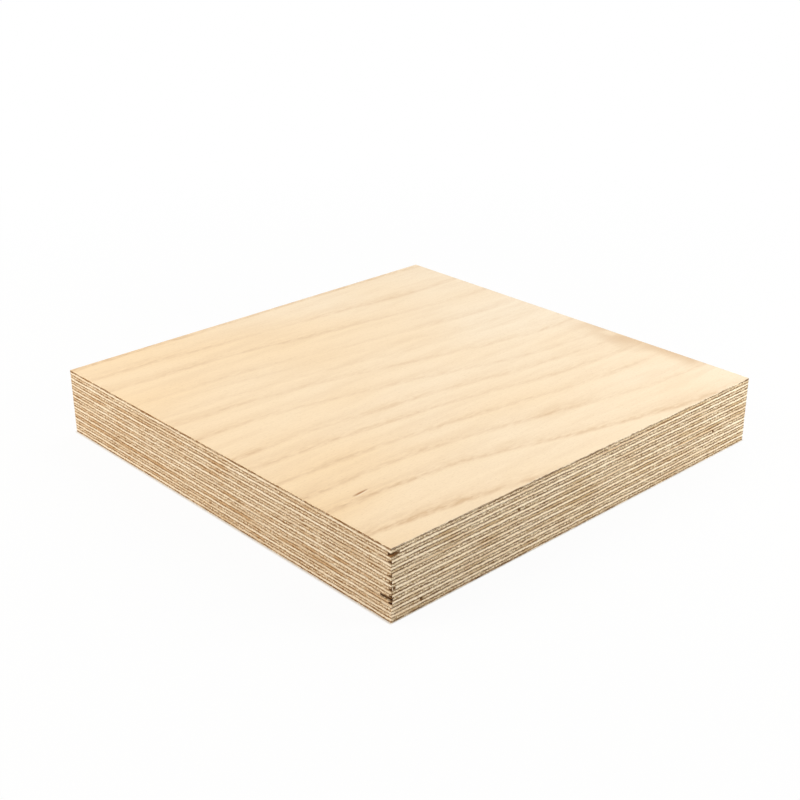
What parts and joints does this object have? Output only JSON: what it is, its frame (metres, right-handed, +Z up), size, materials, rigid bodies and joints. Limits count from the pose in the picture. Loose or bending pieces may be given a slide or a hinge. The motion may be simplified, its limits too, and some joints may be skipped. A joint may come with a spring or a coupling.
{
  "type": "plywood sheet",
  "caption": "Thick square block of sawn plywood with crossed veneer plies showing on all edges and a pale sanded face veneer on both sides, used as flat panel stock.",
  "frame": {"origin": "middle of the underside, on the surface that the panel lies on", "axes": "+Z up through the panel from back to face, +X along the face grain, +Y across it; the chipped corner is at -X, -Y"},
  "size_m": [0.21, 0.21, 0.03],
  "materials": {
    "face_veneer": "sanded, unfinished",
    "crosswise_ply": "sawn edge, unfinished",
    "lengthwise_ply": "sawn edge, unfinished"
  },
  "bodies": {
    "root": {"face_veneer": "face_veneer", "core_ply_01": "crosswise_ply", "core_ply_02": "lengthwise_ply", "core_ply_03": "crosswise_ply", "core_ply_04": "lengthwise_ply", "core_ply_05": "crosswise_ply", "core_ply_06": "lengthwise_ply", "core_ply_07": "crosswise_ply", "core_ply_08": "lengthwise_ply", "core_ply_09": "crosswise_ply", "core_ply_10": "lengthwise_ply", "core_ply_11": "crosswise_ply", "core_ply_12": "lengthwise_ply", "core_ply_13": "crosswise_ply", "core_ply_14": "lengthwise_ply", "core_ply_15": "crosswise_ply", "core_ply_16": "lengthwise_ply", "core_ply_17": "crosswise_ply", "core_ply_18": "lengthwise_ply", "core_ply_19": "crosswise_ply", "core_ply_20": "lengthwise_ply", "core_ply_21": "crosswise_ply", "back_veneer": "face_veneer"}
  },
  "joints": []
}
